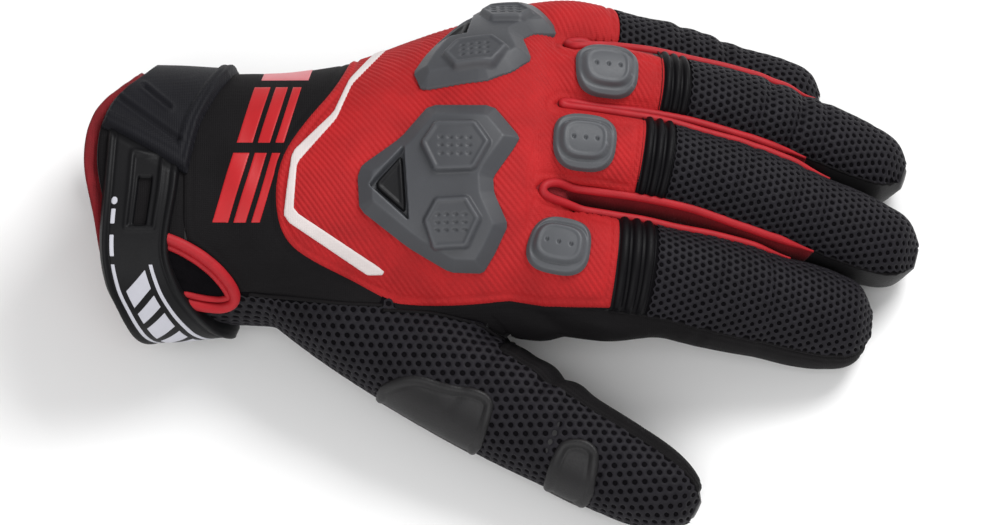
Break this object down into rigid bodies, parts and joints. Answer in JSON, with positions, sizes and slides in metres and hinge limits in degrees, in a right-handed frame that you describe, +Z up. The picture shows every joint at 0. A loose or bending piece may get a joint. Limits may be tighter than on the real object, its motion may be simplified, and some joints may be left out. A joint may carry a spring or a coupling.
{
  "type": "motorcycle glove",
  "caption": "Left-hand short motorcycle glove, hollow, with a ribbed back panel, hard knuckle and finger guards, mesh fingers and a wrist strap.",
  "frame": {"origin": "on the flat under the heel of the hand, where the glove rests palm down", "axes": "+X to the fingertips, +Y to the little finger, +Z up through the back of the hand"},
  "size_m": [0.2195, 0.1442, 0.0585],
  "materials": {
    "mesh": "black air mesh over a dark lining",
    "neoprene": "smooth black stretch fabric",
    "leather": "black synthetic leather, fine grain",
    "red_fabric": "red woven fabric with fine diagonal ribs",
    "red_lining": "red lining cloth",
    "red_piping": "red rolled piping",
    "guard": "grey moulded rubber, satin",
    "guard_insert": "black moulded rubber",
    "strap_rubber": "black moulded rubber, satin",
    "reflective": "pale reflective film"
  },
  "bodies": {
    "root": {"cuff": "neoprene", "cuff_lining": "red_lining", "cuff_flap": "strap_rubber", "strap": "strap_rubber", "notch_piping": "red_piping", "wrist_gusset": "neoprene", "wrist_panel": "neoprene", "side_panel": "mesh", "palm": "leather", "back_panel": "red_fabric", "reflective_stripe": "reflective", "knuckle_guard_index_middle": "guard", "knuckle_guard_ring_little": "guard", "guard_insert_index_middle": "guard_insert", "guard_insert_ring_little": "guard_insert", "finger_guard_index": "guard", "finger_guard_middle": "guard", "finger_guard_ring": "guard", "flex_panel_index": "neoprene", "flex_panel_middle": "neoprene", "flex_panel_ring": "neoprene", "finger_back_index": "mesh", "finger_back_middle": "mesh", "finger_back_ring": "mesh", "finger_back_little": "mesh", "finger_front_index": "leather", "finger_front_middle": "leather", "finger_front_ring": "leather", "finger_front_little": "leather", "index_side": "neoprene", "fourchette_index_middle": "red_lining", "fourchette_middle_ring": "red_lining", "fourchette_ring_little": "red_lining", "thumb_back": "mesh", "thumb_front": "leather", "thumb_side": "neoprene", "thumb_patch_knuckle": "leather", "thumb_patch_tip": "leather"}
  },
  "joints": []
}
